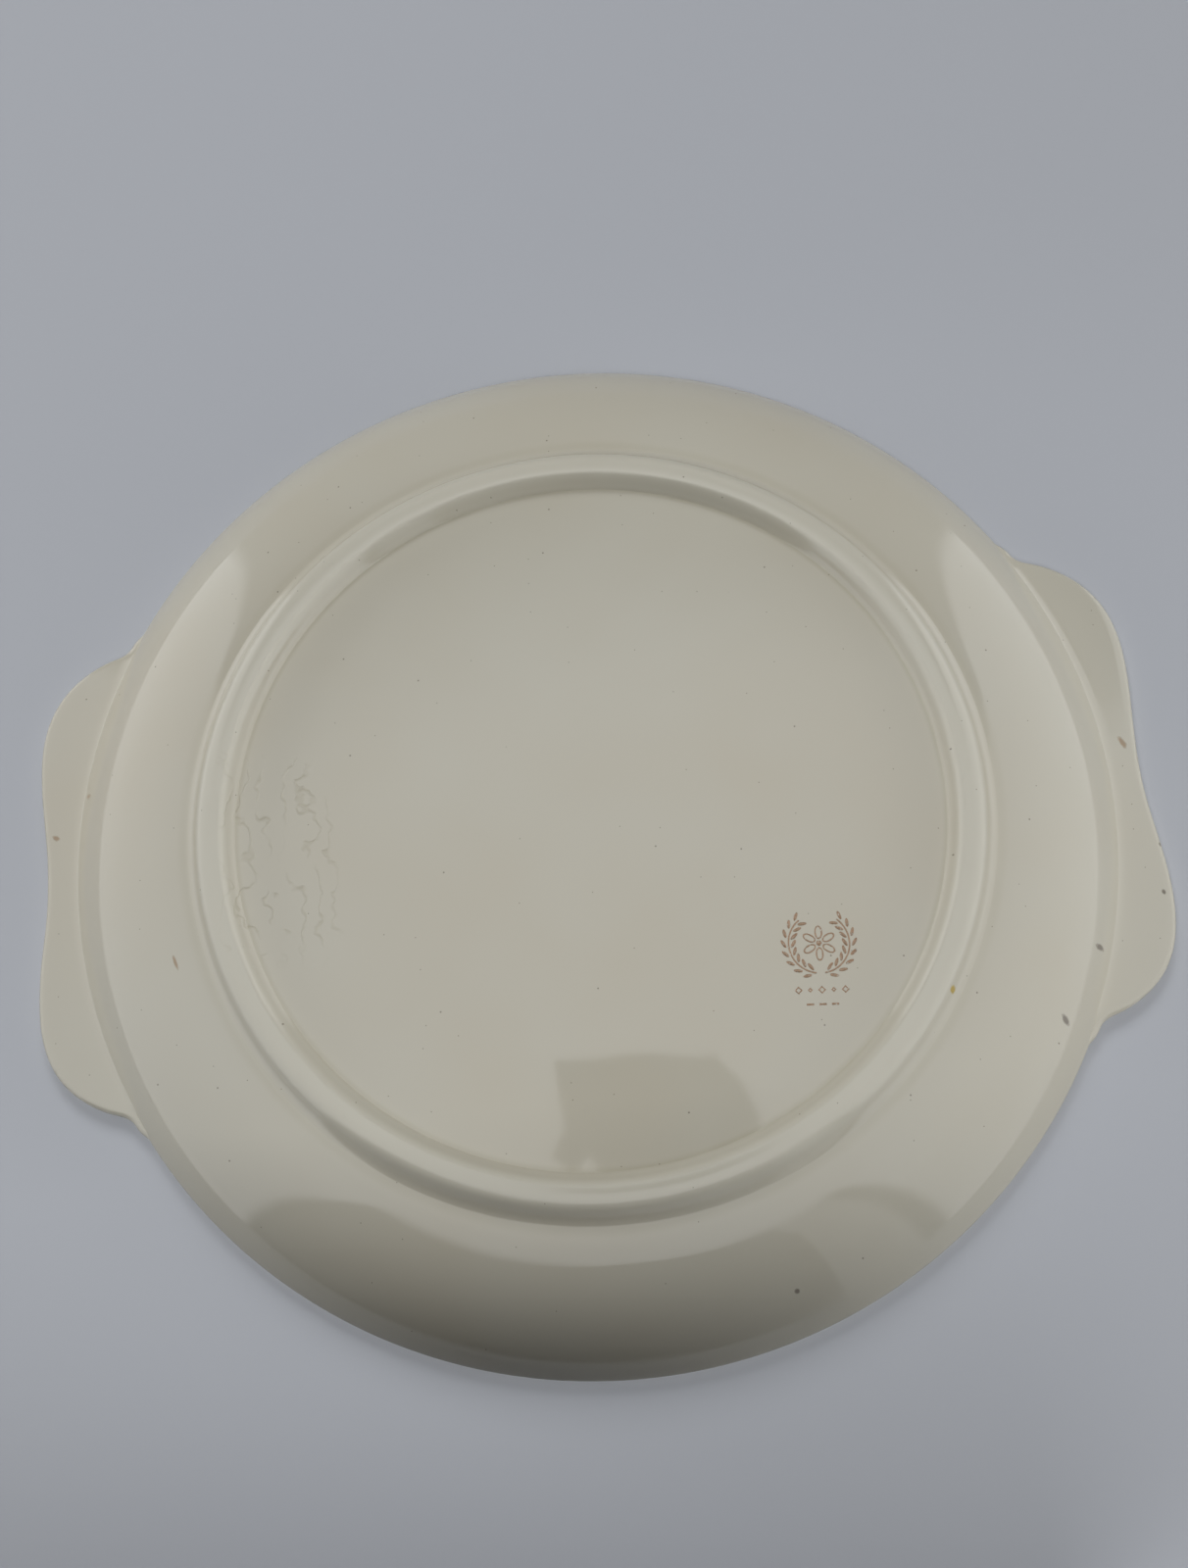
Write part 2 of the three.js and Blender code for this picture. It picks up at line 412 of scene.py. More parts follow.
def tab_handle(name, turn):
    angles = np.linspace(-FADE_ANGLE, FADE_ANGLE, HANDLE_CUTS)
    return lofted(name, [handle_cut(angle, turn) for angle in angles])


handles = {
    "right": tab_handle("handle_tab_right", 0),
    "left": tab_handle("handle_tab_left", math.pi),
}

# %% [markdown]
# ## The gold lines
#
# A decorator draws liquid gold with a fine brush while the dish turns on a banding wheel. One line
# follows the edge of the face, over both handles, and one follows the flat of the well. Each line
# is a very low cushion: thick in the middle of the stroke and thin at its sides. Its width changes
# a little as the brush empties.

# %% The gold lines
LINE_WIDTH = 1 * MM
EDGE_INSET = 2.2 * MM


def brushed(name, outline, inset, base, top):
    """A closed brush line, set in from a closed outline of (x, y) points."""
    ahead = np.roll(outline, -1, axis=0)
    behind = np.roll(outline, 1, axis=0)
    along = ahead - behind
    along /= np.linalg.norm(along, axis=1)[:, None]
    inward = np.stack([-along[:, 1], along[:, 0]], axis=1)
    height = top - base
    sections = []
    for place, way in zip(outline, inward):
        pressure = 1 + 0.12 * noise.noise(Vector((*place, 0)) * 45)
        middle = place + way * (inset + LINE_WIDTH / 2)
        half = LINE_WIDTH / 2 * pressure
        stroke = [(-1, -0.2), (-1, 0.1), (-0.7, 0.75), (0, 1), (0.7, 0.75), (1, 0.1), (1, -0.2)]
        ring = [(*(middle + way * side * half), base + height * level) for side, level in stroke]
        sections.append(ring)
    return lofted(name, sections, closed=True)


def face_outline(count):
    """The outline of the whole face, handles included, as (x, y) points."""
    points = []
    for angle in np.linspace(-math.pi / 2, 1.5 * math.pi, count, endpoint=False):
        nearest = angle if angle < math.pi / 2 else angle - math.pi
        radius = max(rim_radius, outline_radius(nearest))
        points.append((radius * math.cos(angle), radius * math.sin(angle)))
    return np.array(points)


def circle(radius, count):
    angles = np.linspace(0, 2 * math.pi, count, endpoint=False)
    return radius * np.stack([np.cos(angles), np.sin(angles)], axis=1)


edge_line = brushed(
    "gold_line_at_edge", face_outline(900), EDGE_INSET, edge_line_low.z, edge_line_high.z)
well_line = brushed(
    "gold_line_at_well", circle(well_line_high.x, 480), 0, well_line_low.z, well_line_high.z)

# %% [markdown]
# ## The printed mark
#
# Factory marks are printed in one colour from an engraved plate. This one is a plain ornament and
# stands for no maker: a six-petal flower between two leafy sprigs, with a row of diamonds and a
# row of short bars under it. Each stroke is a thin flat ribbon, laid on the recess. The ornament is
# drawn in its own coordinates, u to its right and v up, and turned over onto the underside.

# %% The ornament's strokes
PRINT_DEPTH = 0.03 * MM
STROKE = 0.42 * MM
print_centre = (print_low + print_high) / 2
print_shapes = []


def ellipse(u, v, long, wide, lean, count=20):
    """An ellipse's outline; lean is the angle of its long axis."""
    angles = np.linspace(0, 2 * math.pi, count, endpoint=False)
    points = np.stack([long * np.cos(angles), wide * np.sin(angles)], axis=1)
    turn = np.array([[math.cos(lean), math.sin(lean)], [-math.sin(lean), math.cos(lean)]])
    return points @ turn + (u, v)


def filled(outline):
    """A solid patch of print."""
    print_shapes.append(("patch", np.array(outline, float), None))


def outlined(outline, width=STROKE):
    """A closed hollow stroke: the outline and a smaller copy of it."""
    outline = np.array(outline, float)
    middle = outline.mean(axis=0)
    reach = np.linalg.norm(outline - middle, axis=1)[:, None]
    print_shapes.append(("band", outline, middle + (outline - middle) * (1 - width / reach)))


def drawn(points, width=STROKE):
    """An open stroke that follows points."""
    points = np.array(points, float)
    along = np.gradient(points, axis=0)
    along /= np.linalg.norm(along, axis=1)[:, None]
    side = np.stack([-along[:, 1], along[:, 0]], axis=1) * width / 2
    print_shapes.append(("patch", np.concatenate([points + side, (points - side)[::-1]]), len(points)))


# %% The ornament's drawing
FLOWER_V = 4.2 * MM
PETALS = 6
SPRIG_RADIUS = 7.6 * MM
LEAF_PAIRS = 8


def flower():
    for i in range(PETALS):
        lean = math.pi / 2 + i * 2 * math.pi / PETALS
        reach = 2.75 * MM
        u, v = reach * math.cos(lean), FLOWER_V + reach * math.sin(lean)
        outlined(ellipse(u, v, 1.75 * MM, 1.0 * MM, lean))
    filled(ellipse(0, FLOWER_V, 0.7 * MM, 0.7 * MM, 0))


def sprig(side):
    angles = np.radians(np.linspace(-82, 52, 40))
    stem_u = side * SPRIG_RADIUS * np.cos(angles)
    stem_v = FLOWER_V + SPRIG_RADIUS * np.sin(angles)
    drawn(np.stack([stem_u, stem_v], axis=1))
    for i in range(LEAF_PAIRS):
        angle = math.radians(-68 + 120 * i / (LEAF_PAIRS - 1))
        for lean, distance in ((0.55, 1.25 * MM), (-0.55, -1.2 * MM)):
            reach = SPRIG_RADIUS + distance
            u = side * reach * math.cos(angle)
            v = FLOWER_V + reach * math.sin(angle)
            leaf = angle + math.pi / 2 - lean
            filled(ellipse(u, v, 1.15 * MM, 0.42 * MM, leaf if side > 0 else math.pi - leaf, 14))


def diamonds(v, count, pitch):
    for i in range(count):
        u = (i - (count - 1) / 2) * pitch
        size = (1.0 if i % 2 == 0 else 0.65) * MM
        outlined([(u - size, v), (u, v - size), (u + size, v), (u, v + size)])


def bars(v, count, pitch):
    for i in range(count):
        u = (i - (count - 1) / 2) * pitch
        drawn([(u - 0.9 * MM, v), (u, v), (u + 0.9 * MM, v)], 0.5 * MM)


flower()
sprig(1)
sprig(-1)
diamonds(-7.6 * MM, 5, 2.9 * MM)
bars(-11.2 * MM, 3, 3.1 * MM)
print(f"ornament: {len(print_shapes)} strokes")

# %% The ornament's mesh
MARK_TURN = math.radians(4)


def on_underside(uv):
    """Ornament coordinates laid on the recess, seen from below with their top away from the reader."""
    u = uv[:, 0] * math.cos(MARK_TURN) + uv[:, 1] * math.sin(MARK_TURN)
    v = uv[:, 1] * math.cos(MARK_TURN) - uv[:, 0] * math.sin(MARK_TURN)
    return np.stack([print_centre.x + u, print_centre.y - v], axis=1)


def ornament_mesh():
    """All strokes as thin closed solids in one mesh."""
    low, high = recess_height - PRINT_DEPTH, recess_height + PRINT_DEPTH
    vertices = []
    faces = []
    for kind, outer, extra in print_shapes:
        start = len(vertices)
        rings = [outer] if kind == "patch" else [outer, extra]
        count = len(outer)
        for ring in rings:
            flat = on_underside(ring)
            vertices += [(x, y, low) for x, y in flat]
            vertices += [(x, y, high) for x, y in flat]
        for i in range(count):
            j = (i + 1) % count
            a, b, c, d = start + i, start + j, start + count + j, start + count + i
            faces.append((a, b, c, d))
            if kind == "band":
                step = 2 * count
                faces.append((b + step, a + step, d + step, c + step))
                faces.append((b, a, a + step, b + step))
                faces.append((d, c, c + step, d + step))
        if kind == "patch" and extra:
            for i in range(extra - 1):
                a, b, c, d = i, i + 1, count - 2 - i, count - 1 - i
                faces.append(tuple(start + k for k in (a, d, c, b)))
                faces.append(tuple(start + count + k for k in (a, b, c, d)))
        elif kind == "patch":
            faces.append(tuple(start + i for i in reversed(range(count))))
            faces.append(tuple(start + count + i for i in range(count)))
    return make_piece("printed_ornament", vertices, faces)


mark = ornament_mesh()


def facing_out(piece):
    """Turns every face's outside outwards, as a closed skin needs."""
    bpy.context.view_layer.objects.active = piece
    piece.select_set(True)
    bpy.ops.object.mode_set(mode="EDIT")
    bpy.ops.mesh.select_all(action="SELECT")
    bpy.ops.mesh.normals_make_consistent(inside=False)
    bpy.ops.object.mode_set(mode="OBJECT")
    piece.select_set(False)


for piece in (dish, foot, edge_line, well_line, mark, *handles.values()):
    facing_out(piece)

# %% [markdown]
# ## Shader arithmetic
#
# A procedural finish is a small calculation carried out at every point of the surface. Written as
# node links it is hard to read, so a number that varies over the surface is wrapped in a class
# whose operators add Math nodes. Then `1 - mask` or `a * 0.3 + b` reads as what it is. All other
# nodes come from one method, which takes the node's type, its settings and what its sockets hold.

# %% A number that varies over the surface
class Field:
    """One output socket, with the arithmetic that the finishes need."""

    def __init__(self, finish, socket):
        self.finish = finish
        self.socket = socket

    def math(self, operation, *others):
        values = dict(enumerate((self, *others)))
        return self.finish.node("ShaderNodeMath", {"operation": operation}, values)

    def __add__(self, other):
        return self.math("ADD", other)

    def __sub__(self, other):
        return self.math("SUBTRACT", other)

    def __mul__(self, other):
        return self.math("MULTIPLY", other)

    def __truediv__(self, other):
        return self.math("DIVIDE", other)

    def __rsub__(self, other):
        return (self * -1) + other

    __radd__ = __add__
    __rmul__ = __mul__

    def rise(self, low, high):
        """0 below low, 1 above high, and smooth between them."""
        settings = {"interpolation_type": "SMOOTHSTEP"}
        limits = {"Value": self, "From Min": low, "From Max": high, "To Min": 0.0, "To Max": 1.0}
        return self.finish.node("ShaderNodeMapRange", settings, limits)

    def fall(self, low, high):
        """1 below low, 0 above high."""
        return 1 - self.rise(low, high)

    def near(self, centre, width):
        """1 at a value, falling to nothing a width away from it on both sides."""
        return (self - centre).math("ABSOLUTE").fall(0, width)


# %% A recipe: the nodes of one finish or of the light tent
class Recipe:
    def __init__(self, owner, end, place):
        owner.use_nodes = True
        self.owner = owner
        self.tree = owner.node_tree
        self.tree.nodes.clear()
        self.end = self.tree.nodes.new(end)
        self.place = self.node("ShaderNodeTexCoord", output=place)

    def node(self, kind, settings=None, values=None, output=0):
        """Adds a node. Settings come first, then each socket's value or link."""
        made = self.tree.nodes.new(kind)
        for key, value in (settings or {}).items():
            setattr(made, key, value)
        for key, value in (values or {}).items():
            if isinstance(value, Field):
                self.tree.links.new(value.socket, made.inputs[key])
            else:
                made.inputs[key].default_value = value
        return Field(self, made.outputs[output])

    def axis(self, name):
        return self.node("ShaderNodeSeparateXYZ", values={"Vector": self.place}, output=name)

    def vector(self, operation, first, second, output="Vector"):
        return self.node("ShaderNodeVectorMath", {"operation": operation}, {0: first, 1: second}, output)

    def radius(self):
        """Distance from the dish's axis."""
        return self.vector("LENGTH", self.vector("MULTIPLY", self.place, (1, 1, 0)), (0, 0, 0), "Value")

    def clouds(self, size, detail=2.0, where=None):
        """Soft noise from 0 to 1 whose blotches are about this size in metres."""
        values = {"Vector": where or self.place, "Scale": 1 / size, "Detail": detail}
        return self.node("ShaderNodeTexNoise", values=values)

    def blend(self, amount, first, second):
        """A colour between two colours."""
        values = {0: amount, 6: first, 7: second}
        return self.node("ShaderNodeMix", {"data_type": "RGBA"}, values, 2)

    def bump(self, height, distance, strength, under=None):
        values = {"Height": height, "Distance": distance, "Strength": strength}
        if under:
            values["Normal"] = under
        return self.node("ShaderNodeBump", values=values)

    def finish_with(self, shader):
        """Makes this shader the surface."""
        self.surface = shader
        self.tree.links.new(shader.socket, self.end.inputs["Surface"])

    def close(self, **sockets):
        """Adds the surface shader, with each socket's value or link, and finishes with it."""
        values = {name.replace("_", " "): value for name, value in sockets.items()}
        self.finish_with(self.node("ShaderNodeBsdfPrincipled", values=values))
        return self.owner


def new_finish(name):
    """The recipe of a new material, whose place is the point on the object."""
    return Recipe(bpy.data.materials.new(name), "ShaderNodeOutputMaterial", "Object")


print("shader helpers ready")

# %% [markdown]
# ## The cream glaze
#
# Earthenware and porcelain of this kind are dipped in a clear glaze over a warm cream body. The
# colour is nearly even, and what makes it look like pottery is small: the glaze is thinner and a
# little browner on edges, it pools and deepens where the foot meets the floor, it holds a few specks
# of iron, and its surface has long, low waves. The crest of the foot is painted paler, which is a
# painted highlight: light painted into the colour. In one place the glaze ran while it melted and
# left wavy ridges. All of this depends on the place only, so one material serves the body, the foot
# and the handles, and the glaze runs on from one to the next without a break.

# %% Glaze colours
CREAM = (0.500, 0.474, 0.392, 1)
CREAM_WARM = (0.488, 0.452, 0.362, 1)
CREAM_COOL = (0.505, 0.490, 0.418, 1)
# painted highlight: the paler colour painted on the crest of the foot, standing in for light on it
CREST_PAINTED_HIGHLIGHT = (0.532, 0.510, 0.428, 1)
POOLED = (0.420, 0.388, 0.296, 1)
THIN = (0.470, 0.415, 0.315, 1)
IRON = (0.060, 0.040, 0.025, 1)
RUST = (0.260, 0.170, 0.095, 1)
GOLD_DUST = (0.400, 0.290, 0.060, 1)

# %% [markdown]
# Kiln marks are given one by one: a pinhole with dirt in it, a scuff, a grain of iron. Each is a
# small soft ellipse, and the kinds differ only in colour. Positions are in millimetres from the
# dish's middle, along the handles and across them.

# %% Where the marks are
# each mark: x, y, length, width, lean in degrees
DARK_MARKS = [
    (113.8, 65.2, 1.9, 1.0, 62),
    (126.6, 47.2, 1.6, 1.0, 20),
    (38.5, 123.4, 0.8, 0.7, 0),
    (146.9, 33.5, 0.9, 0.6, 80),
    (148.6, 20.6, 0.7, 0.5, 80),
]
RUST_MARKS = [
    (144.1, -8.4, 2.4, 0.9, 68),
    (-145.1, -12.6, 1.3, 0.8, 30),
    (-135.4, -22.8, 1.0, 0.8, 0),
    (-108.3, 29.2, 2.3, 0.55, 72),
]
GOLD_MARKS = [
    (85.1, 56.6, 1.3, 0.9, 110),
]


def marks(finish, places):
    """1 on the marks and 0 elsewhere."""
    total = None
    edge = finish.clouds(0.9 * MM, 1.0) * 0.7 + 0.65
    for x, y, length, width, lean in places:
        aimed = finish.node(
            "ShaderNodeMapping",
            {"vector_type": "TEXTURE"},
            {
                "Vector": finish.place,
                "Location": (x * MM, y * MM, 0),
                "Rotation": (0, 0, math.radians(lean)),
                "Scale": (length * MM, width * MM, 1),
            },
        )
        flat = finish.vector("MULTIPLY", aimed, (1, 1, 0))
        distance = finish.vector("LENGTH", flat, (0, 0, 0), "Value")
        spot = (distance * edge).fall(0.45, 1.0)
        total = spot if total is None else total.math("MAXIMUM", spot)
    return total


# %% Iron specks and glaze runs
def specks(finish, pitch, size, share):
    """Tiny round specks: in a share of the cells of a random pattern, 1 at the cell's middle."""
    settings = {"voronoi_dimensions": "2D"}
    values = {"Vector": finish.place, "Scale": 1 / pitch}
    distance = finish.node("ShaderNodeTexVoronoi", settings, values, "Distance")
    shade = finish.node("ShaderNodeTexVoronoi", settings, values, "Color")
    chance = finish.node("ShaderNodeSeparateColor", values={"Color": shade}, output="Red")
    return (distance * pitch).fall(size * 0.4, size) * chance.rise(1 - share, 1 - share + 0.01)


def run_lines(finish, x, y):
    """Wavy ridges left in the recess, on the left, where the glaze ran while it melted."""
    sway = finish.clouds(13 * MM, 3.0) * 26 * MM
    level = (x + sway) / (5.2 * MM)
    ridge = level.math("FRACT").near(0.5, 0.13)
    across = (x + 80 * MM).math("ABSOLUTE").fall(11 * MM, 17 * MM)
    along = (y - 4 * MM).math("ABSOLUTE").fall(20 * MM, 32 * MM)
    patchy = finish.clouds(9 * MM, 1.0, finish.vector("ADD", finish.place, (0.3, 0, 0))).rise(0.36, 0.54)
    return ridge * across * along * patchy


# %% The cream glaze
def cream_glaze():
    finish = new_finish("cream_glaze")
    x, y, z = finish.axis("X"), finish.axis("Y"), finish.axis("Z")
    radius = finish.radius()
    underside = z.fall(recess_height + 1 * MM, recess_height + 3 * MM)

    tone = finish.blend(finish.clouds(55 * MM, 2.0).rise(0.3, 0.7), CREAM, CREAM_WARM)
    tone = finish.blend(finish.clouds(120 * MM, 1.0).rise(0.35, 0.75) * 0.6, tone, CREAM_COOL)

    inner_pool = radius.near(foot_inner - 0.3 * MM, 1.3 * MM)
    outer_pool = radius.near(foot_outer + 0.6 * MM, 2.2 * MM)
    pools = inner_pool + outer_pool * 0.5
    tone = finish.blend(pools * underside * (finish.clouds(14 * MM) * 0.5 + 0.3), tone, POOLED)
    # Painted highlight: the crest of the foot is painted paler, as if light fell on it.
    crest = z.fall(0.2 * MM, 2.4 * MM)
    tone = finish.blend(crest * (finish.clouds(20 * MM, 2.0) * 0.4 + 0.6), tone, CREST_PAINTED_HIGHLIGHT)
    at_rim = radius.rise(rim_radius - 1.0 * MM, rim_radius - 0.2 * MM)
    at_rim = at_rim * z.near(rim_top - 1.8 * MM, 1.6 * MM)
    tone = finish.blend(at_rim * 0.25, tone, THIN)

    iron = specks(finish, 19 * MM, 0.32 * MM, 0.3) + specks(finish, 9 * MM, 0.2 * MM, 0.2)
    tone = finish.blend(iron * 0.6, tone, IRON)
    runs = run_lines(finish, x, y) * underside
    tone = finish.blend(runs * 0.5, tone, POOLED)
    dark = marks(finish, DARK_MARKS)
    rust = marks(finish, RUST_MARKS)
    gold = marks(finish, GOLD_MARKS)
    below = z.fall(handle_under + 0.6 * MM, handle_under + 2.1 * MM)
    tone = finish.blend(dark * below * 0.75, tone, IRON)
    tone = finish.blend(rust * below * 0.75, tone, RUST)
    tone = finish.blend(gold * below, tone, GOLD_DUST)

    flaws = (dark + rust) * below
    waves = finish.bump(finish.clouds(22 * MM, 1.0), 0.10 * MM, 0.5)
    skin = finish.bump(finish.clouds(2.4 * MM, 1.0), 0.004 * MM, 0.5, waves)
    skin = finish.bump(runs * 1.6 - flaws * 0.8, 0.07 * MM, 0.8, skin)
    roughness = finish.clouds(30 * MM, 2.0) * 0.04 + 0.03 + flaws * 0.4 + crest * 0.08
    return finish.close(Base_Color=tone, Roughness=roughness, Normal=skin, IOR=1.6)


glaze = cream_glaze()

# %% [markdown]
# ## Gold and ink
#
# Fired gold is a metal film much thinner than a hair. Use wears it through in small spots, and the
# cream shows there, so the metal part and the colour follow the same mask. The print is thin
# brown-gold ink on the glaze. It is broken where the plate printed weakly, which the alpha does,
# and it lets some of the cream through everywhere.

# %% Gold
GOLD = (0.640, 0.400, 0.130, 1)
GOLD_DARK = (0.480, 0.270, 0.075, 1)


def gold_line():
    finish = new_finish("fired_gold")
    worn = finish.clouds(2.2 * MM, 3.0).rise(0.62, 0.72)
    tone = finish.blend(finish.clouds(9 * MM, 2.0), GOLD, GOLD_DARK)
    tone = finish.blend(worn, tone, CREAM_WARM)
    roughness = finish.clouds(1.5 * MM, 2.0) * 0.18 + 0.16
    brushwork = finish.bump(finish.clouds(0.7 * MM, 2.0), 0.01 * MM, 0.4)
    return finish.close(Base_Color=tone, Metallic=1 - worn, Roughness=roughness, Normal=brushwork)


gold = gold_line()

# %% Ink
INK = (0.330, 0.190, 0.110, 1)
INK_PALE = (0.470, 0.330, 0.215, 1)


def printed_ink():
    finish = new_finish("print_ink")
    tone = finish.blend(finish.clouds(1.6 * MM, 2.0), INK, INK_PALE)
    breaks = finish.clouds(0.45 * MM, 2.0).fall(0.56, 0.70) * 0.72 + 0.06
    roughness = finish.clouds(1.2 * MM) * 0.1 + 0.2
    return finish.close(Base_Color=tone, Alpha=breaks, Roughness=roughness)


ink = printed_ink()

# %% [markdown]
# ## Pieces on the frame
#
# Each piece now gets its finish, rides on the dish's one body, and stands for the plain node that
# it refines.

# %% Dress the pieces
dressed = [
    (dish, "dish_body", glaze, "cream_glaze"),
    (foot, "foot_ring", glaze, "cream_glaze"),
    (handles["right"], "tab_handle_right", glaze, "cream_glaze"),
    (handles["left"], "tab_handle_left", glaze, "cream_glaze"),
    (edge_line, "gold_edge_line", gold, "gold"),
    (well_line, "gold_well_line", gold, "gold"),
    (mark, "backstamp_print", ink, "stamp_ink"),
]
for piece, node, material, slot in dressed:
    piece.data.materials.append(material)
    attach(piece, "root")
    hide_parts(node)
    print(f"{piece.name} stands for {node}")

# %% [markdown]
# ## Two floors
#
# The dish is looked at in two ways. For the main view it lies face down, so its face rests on a
# pale surface at the rim's height, and the camera looks up at the foot from below. For all other
# views it stands on its foot on a table. Each floor is a one-sided sheet: its material lets the ray
# through when it meets the back. The pale surface is seen only from below, and the table only
# from above, so neither is in the way of the other.
#
# The pale surface has a hole under the dish, a little smaller than the outline, so that the face
# still sees the light above it. The table answers only to the camera. The dish's own light from
# below passes it.

# %% One-sided floor finish
PALE = (0.452, 0.468, 0.503, 1)
PALE_SHADE = (0.425, 0.443, 0.480, 1)


def one_sided_floor(name, first, second):
    finish = new_finish(name)
    tone = finish.blend(finish.clouds(0.5, 2.0), first, second)
    grain = finish.bump(finish.clouds(0.8 * MM, 2.0), 0.02 * MM, 0.3)
    finish.close(Base_Color=tone, Roughness=finish.clouds(0.1) * 0.1 + 0.5, Normal=grain)
    back = finish.node("ShaderNodeNewGeometry", output="Backfacing")
    clear = finish.node("ShaderNodeBsdfTransparent")
    finish.finish_with(finish.node("ShaderNodeMixShader", values={0: back, 1: finish.surface, 2: clear}))
    return finish.owner


# %% The pale surface for the face-down view
SURFACE_GAP = 0.3 * MM
SURFACE_REACH = 1.6
HOLE_MARGIN = 0.6 * MM


def pale_surface():
    outline = face_outline(360)
    radii = np.linalg.norm(outline, axis=1)
    height = edge_line_high.z + SURFACE_GAP
    directions = outline / radii[:, None]
    rings = [directions * (radii - HOLE_MARGIN)[:, None]]
    for reach in (0.16, 0.25, 0.5, SURFACE_REACH):
        rings.append(directions * reach)
    vertices = [(x, y, height) for ring in rings for x, y in ring]
    count = len(outline)
    faces = []
    for row in range(len(rings) - 1):
        for i in range(count):
            j = (i + 1) % count
            low, high = row * count, (row + 1) * count
            faces.append((low + i, low + j, high + j, high + i))
    mesh = bpy.data.meshes.new("pale_surface")
    mesh.from_pydata(vertices, [], faces)
    surface = bpy.data.objects.new("pale_surface", mesh)
    bpy.context.scene.collection.objects.link(surface)
    if mesh.polygons[0].normal.z > 0:
        mesh.flip_normals()
    mesh.materials.append(one_sided_floor("pale_board", PALE, PALE_SHADE))
    return surface


surface = pale_surface()

# %% The table for the other views
TABLE_REACH = 1.5
TABLE_BEND = 0.7
TABLE_BACK = 1.6


def table_sheet():
    """A round sheet that turns up into a backdrop at its edge."""
    flat = [(r, 0.0) for r in np.linspace(0.001, TABLE_REACH, 12)]
    bend = arc((TABLE_REACH, TABLE_BEND), TABLE_BEND, -math.pi / 2, 0, 16)
    rows = [*flat, *[tuple(p) for p in bend[1:]], (TABLE_REACH + TABLE_BEND, TABLE_BACK)]
    count = 96
    angles = np.linspace(0, 2 * math.pi, count, endpoint=False)
    vertices = [(r * math.cos(a), r * math.sin(a), z) for r, z in rows for a in angles]
    faces = [tuple(range(count))]
    for row in range(len(rows) - 1):
        for i in range(count):
            j = (i + 1) % count
            low, high = row * count, (row + 1) * count
            faces.append((low + i, high + i, high + j, low + j))
    mesh = bpy.data.meshes.new("table_sheet")
    mesh.from_pydata(vertices, [], faces)
    mesh.polygons.foreach_set("use_smooth", [True] * len(mesh.polygons))
    if mesh.polygons[0].normal.z < 0:
        mesh.flip_normals()
    table = bpy.data.objects.new("table_sheet", mesh)
    bpy.context.scene.collection.objects.link(table)
    mesh.materials.append(one_sided_floor("table_board", PALE, PALE_SHADE))
    table.visible_diffuse = False
    table.visible_glossy = False
    table.visible_transmission = False
    table.visible_shadow = False
    return table


table = table_sheet()

# %% [markdown]
# ## Light
#
# A glossy dish shows its surroundings. They are a tent, drawn as a world whose colour depends on
# direction. Seen from the face-down dish there is a wide bright window to the left and to the
# right, a bright patch overhead, a dimmer wall at the far side, and a dark side where the reader
# stands, with a lit doorway in it. The tent is only mirrored. What the glaze's colour receives
# comes from softboxes, which are not mirrored: so the two can be set apart, as a studio does with
# flags and polarisers. One world for both would be simpler, but the near wall of the dish would
# then be far too bright.

# %% The tent
WINDOW = 1.34
WINDOW_SLANT = 0.22
OVERHEAD = 1.25
FAR_WALL = 0.26
READER_SIDE = 0.01
DOOR = 0.55
ROOM_ABOVE = 0.70
TENT_STRENGTH = 2.0
TENT_COLOUR = (0.97, 0.985, 1.0, 1)
# where each part starts and stops, in degrees from the right, or from the left for the left window
RIGHT_WINDOW = (-47, 46)
LEFT_WINDOW = (-54, 32)
READER_SECTOR = (46, 148)
DOORWAY = (50, 63)
# degrees from straight below at which the overhead patch ends and is full
OVERHEAD_END = 28
OVERHEAD_FULL = 20


def sector(angle, start, stop, soft):
    """1 between two angles in degrees, with soft ends."""
    start, stop, soft = (math.radians(value) for value in (start, stop, soft))
    return angle.rise(start - soft, start + soft) * angle.fall(stop - soft, stop + soft)


def light_tent():
    world = bpy.data.worlds.new("light_tent")
    tent = Recipe(world, "ShaderNodeOutputWorld", "Generated")
    x, y, z = tent.axis("X"), tent.axis("Y"), tent.axis("Z")
    from_right = y.math("ARCTAN2", x)
    from_left = y.math("ARCTAN2", x * -1)
    windows = sector(from_right, *RIGHT_WINDOW, 1.5) + sector(from_left, *LEFT_WINDOW, 1.5)
    reader = sector(from_right, *READER_SECTOR, 1.5)
    door = sector(from_right, *DOORWAY, 1)
    walls = windows * (WINDOW - FAR_WALL) + reader * (READER_SIDE - FAR_WALL) + door * DOOR + FAR_WALL
    overhead_end, overhead_full = (math.cos(math.radians(a)) for a in (OVERHEAD_END, OVERHEAD_FULL))
    overhead = (z * -1).rise(overhead_end, overhead_full)
    below = walls * (1 - overhead) + overhead * OVERHEAD
    upwards = z.rise(-0.01, 0.03)
    strength = below * (1 - y * WINDOW_SLANT) * (1 - upwards) + upwards * ROOM_ABOVE
    colour = tent.blend(strength / TENT_STRENGTH, (0, 0, 0, 1), TENT_COLOUR)
    shell = tent.node("ShaderNodeBackground", values={"Color": colour, "Strength": TENT_STRENGTH})
    tent.finish_with(shell)
    world.cycles_visibility.diffuse = False
    bpy.context.scene.world = world


light_tent()
bpy.context.scene.view_settings.view_transform = "Standard"

# %% [markdown]
# ## The reader's side
#
# The tent's dark side is far away. The reader and the camera are near, so they are black cards as
# well: the nearer side of the dish is shaded more than the far side. The camera's own card shows in
# the recess as a faint grey shape, as any glossy dish shows the one who looks at it.

# %% The reader's cards
def card(name, corners, material):
    """A flat card from its corners. It is never seen directly."""
    mesh = bpy.data.meshes.new(name)
    mesh.from_pydata(corners, [], [tuple(range(len(corners)))])
    mesh.materials.append(material)
    sheet = bpy.data.objects.new(name, mesh)
    bpy.context.scene.collection.objects.link(sheet)
    sheet.visible_camera = False
    return sheet


def black_cloth():
    finish = new_finish("black_cloth")
    tone = finish.blend(finish.clouds(3 * MM, 2.0), (0.01, 0.01, 0.01, 1), (0.03, 0.03, 0.03, 1))
    return finish.close(Base_Color=tone, Roughness=0.9)


